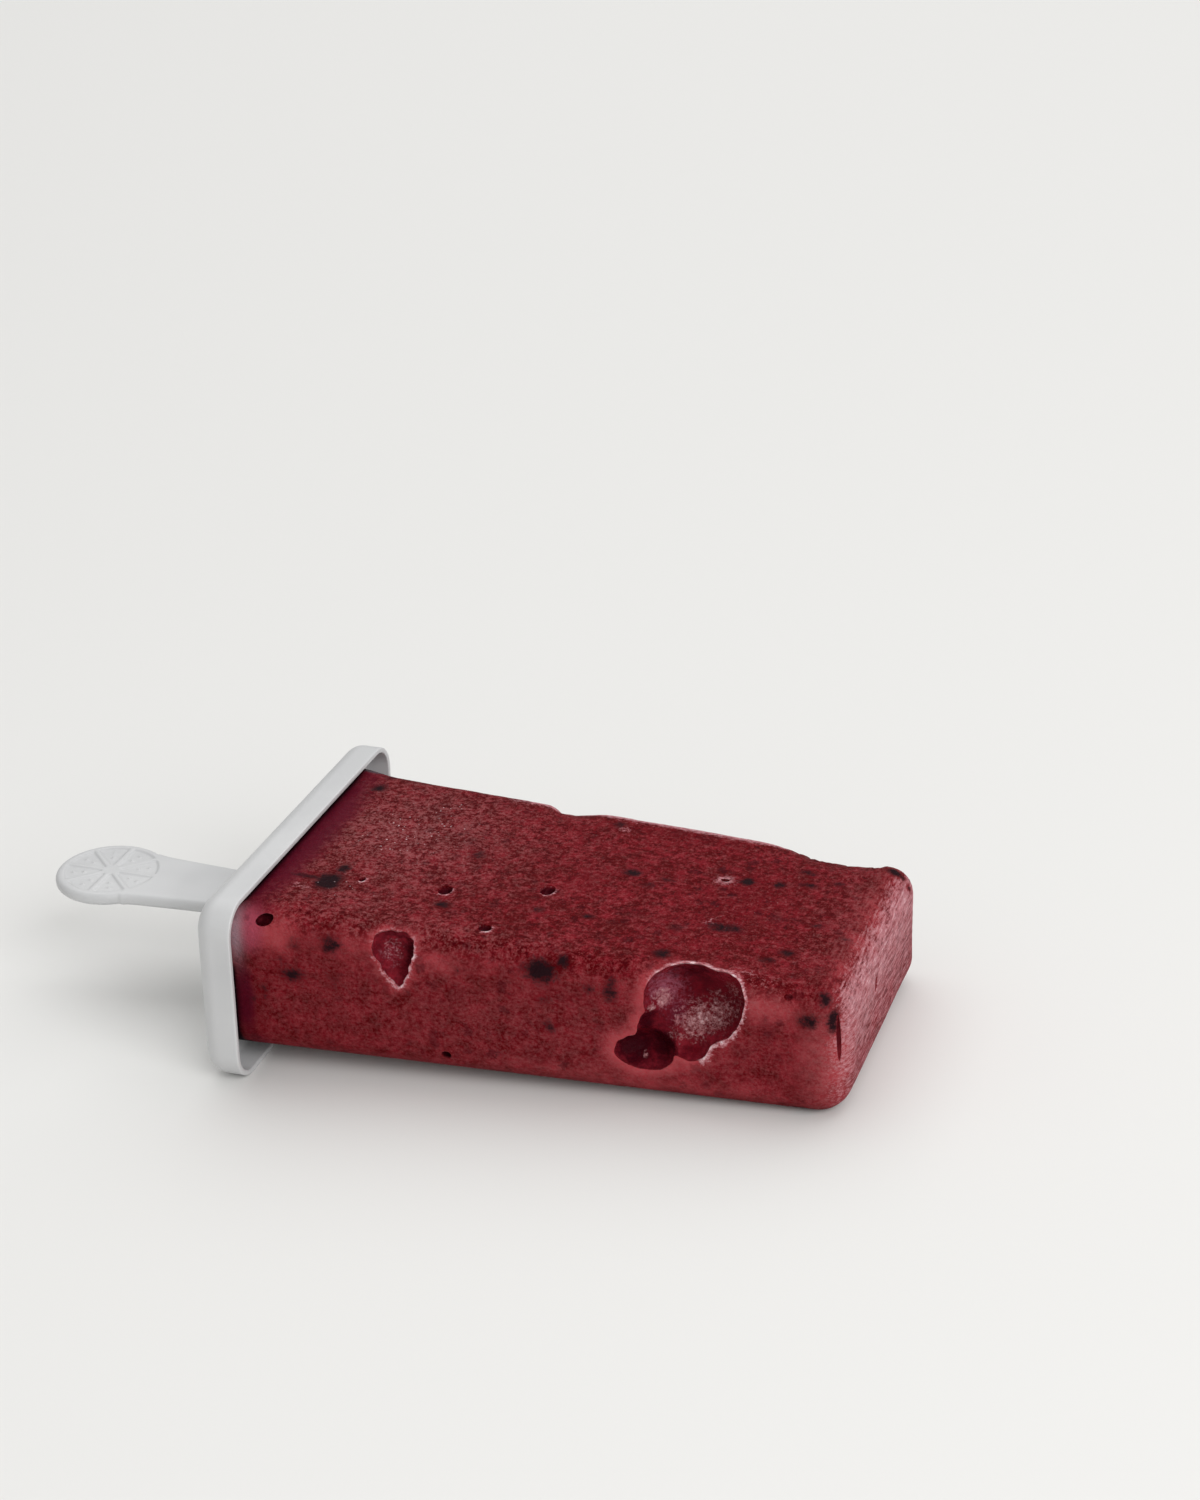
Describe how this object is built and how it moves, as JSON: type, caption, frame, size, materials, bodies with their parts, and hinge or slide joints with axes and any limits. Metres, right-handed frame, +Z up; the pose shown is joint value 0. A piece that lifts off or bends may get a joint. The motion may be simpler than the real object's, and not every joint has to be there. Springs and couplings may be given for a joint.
{
  "type": "ice pop",
  "caption": "Home-made berry ice pop lying on its broad side: a tapered slab of frozen fruit with air pits, capped by a shallow moulded lid with a flat round-headed handle.",
  "frame": {"origin": "on the surface that the pop lies on, under the middle of its box", "axes": "+X along the length towards the tip, +Y across the width, +Z up through the shown broad face; the ice's own axis slopes down to the tip by about 3.7 degrees"},
  "size_m": [0.151, 0.0702, 0.033],
  "materials": {
    "fruit_ice": "frozen berry puree, translucent, damp satin with frosted edges, dark skins and pits",
    "grey_plastic": "moulded polypropylene, light grey, satin"
  },
  "bodies": {
    "root": {"ice": "fruit_ice", "lid": "grey_plastic", "handle": "grey_plastic"}
  },
  "joints": []
}
